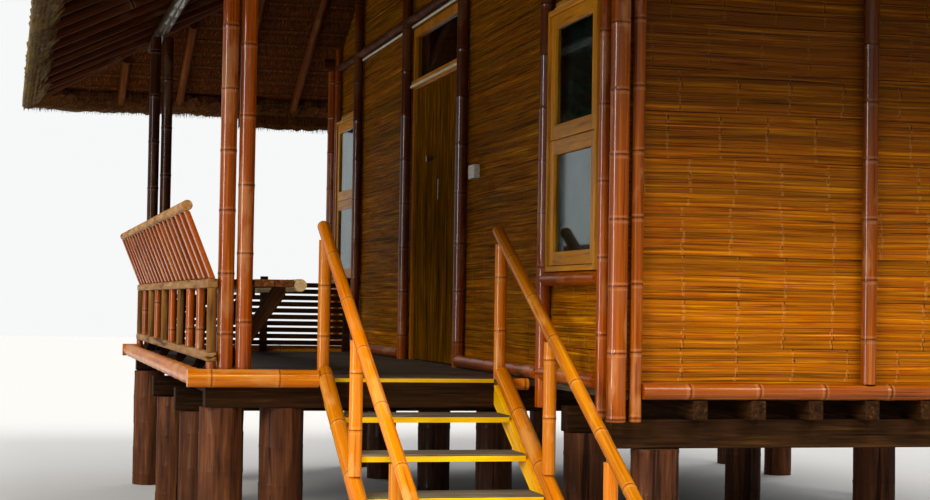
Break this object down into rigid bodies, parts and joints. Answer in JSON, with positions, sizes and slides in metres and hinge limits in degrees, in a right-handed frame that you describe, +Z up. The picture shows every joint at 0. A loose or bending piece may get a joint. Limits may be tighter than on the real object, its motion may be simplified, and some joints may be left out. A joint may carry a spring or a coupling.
{
  "type": "stilt house",
  "caption": "Bamboo cottage on round timber piers, with a hipped thatch roof, an open veranda with a built-in bench, a double door and a plank stair.",
  "frame": {"origin": "on the ground under the middle of the eaves rectangle", "axes": "+X from the veranda to the back wall, +Y along the house to the end away from the stair, +Z up"},
  "size_m": [8.04, 10.11, 5.648],
  "materials": {
    "pier_timber": "rough round timber, stained dark",
    "frame_timber": "sawn timber, reddish stain",
    "floor_boards": "weathered grey boards",
    "brown_bamboo": "varnished bamboo, reddish brown",
    "orange_bamboo": "varnished bamboo, orange",
    "yellow_paint": "painted plank",
    "bamboo_boards": "flattened bamboo boards, varnished",
    "golden_wood": "clear varnished planks",
    "window_glass": "clear glass",
    "pale_strip": "pale painted strip",
    "grey_plastic": "pale plastic",
    "dark_brass": "tarnished",
    "weathered_wood": "worn brown wood",
    "thatch": "dry grass thatch"
  },
  "bodies": {
    "house": {"veranda_piers": "pier_timber", "front_piers": "pier_timber", "middle_piers": "pier_timber", "back_piers": "pier_timber", "floor_beams": "frame_timber", "house_joists": "frame_timber", "veranda_joists": "frame_timber", "house_floor": "floor_boards", "veranda_floor": "floor_boards", "floor_edges": "orange_bamboo", "corner_posts": "brown_bamboo", "flank_posts": "brown_bamboo", "wall_posts": "brown_bamboo", "base_rails": "brown_bamboo", "front_window_walls": "bamboo_boards", "front_panels": "bamboo_boards", "front_over_door": "bamboo_boards", "near_side_wall": "bamboo_boards", "far_side_wall": "bamboo_boards", "back_wall": "bamboo_boards", "wall_rails": "brown_bamboo", "wall_plates": "brown_bamboo", "window_frames": "golden_wood", "glass_panes": "window_glass", "window_sills": "brown_bamboo", "head_strips": "pale_strip", "door_frame": "golden_wood", "hinge_pins": "dark_brass", "switch_box": "grey_plastic", "conduit": "grey_plastic", "veranda_posts": "brown_bamboo", "veranda_plate": "brown_bamboo", "bench_seat": "weathered_wood", "bench_brackets": "frame_timber", "railing_rails": "weathered_wood", "balusters": "weathered_wood", "backrest_slats": "brown_bamboo", "end_railing": "frame_timber", "stair_stringers": "yellow_paint", "stair_treads": "floor_boards", "stair_side_bamboos": "orange_bamboo", "newels": "orange_bamboo", "handrails": "orange_bamboo", "front_rafters": "brown_bamboo", "back_rafters": "brown_bamboo", "near_rafters": "brown_bamboo", "far_rafters": "brown_bamboo", "hip_poles": "brown_bamboo", "front_thatch": "thatch", "back_thatch": "thatch", "near_thatch": "thatch", "far_thatch": "thatch", "ridge_cap": "thatch"},
    "left_leaf": {"left_door_leaf": "golden_wood", "left_leaf_fittings": "dark_brass"},
    "right_leaf": {"right_door_leaf": "golden_wood", "right_leaf_fittings": "dark_brass"}
  },
  "joints": [
    {"name": "left_leaf_hinge", "type": "hinge", "parent": "house", "child": "left_leaf", "pos_m": [-1.04393, 0.7597, 1.11], "axis": [0, 0, 1], "range_deg": [0, 90]},
    {"name": "right_leaf_hinge", "type": "hinge", "parent": "house", "child": "right_leaf", "pos_m": [-1.04393, -0.7597, 1.11], "axis": [0, 0, -1], "range_deg": [0, 90]}
  ]
}
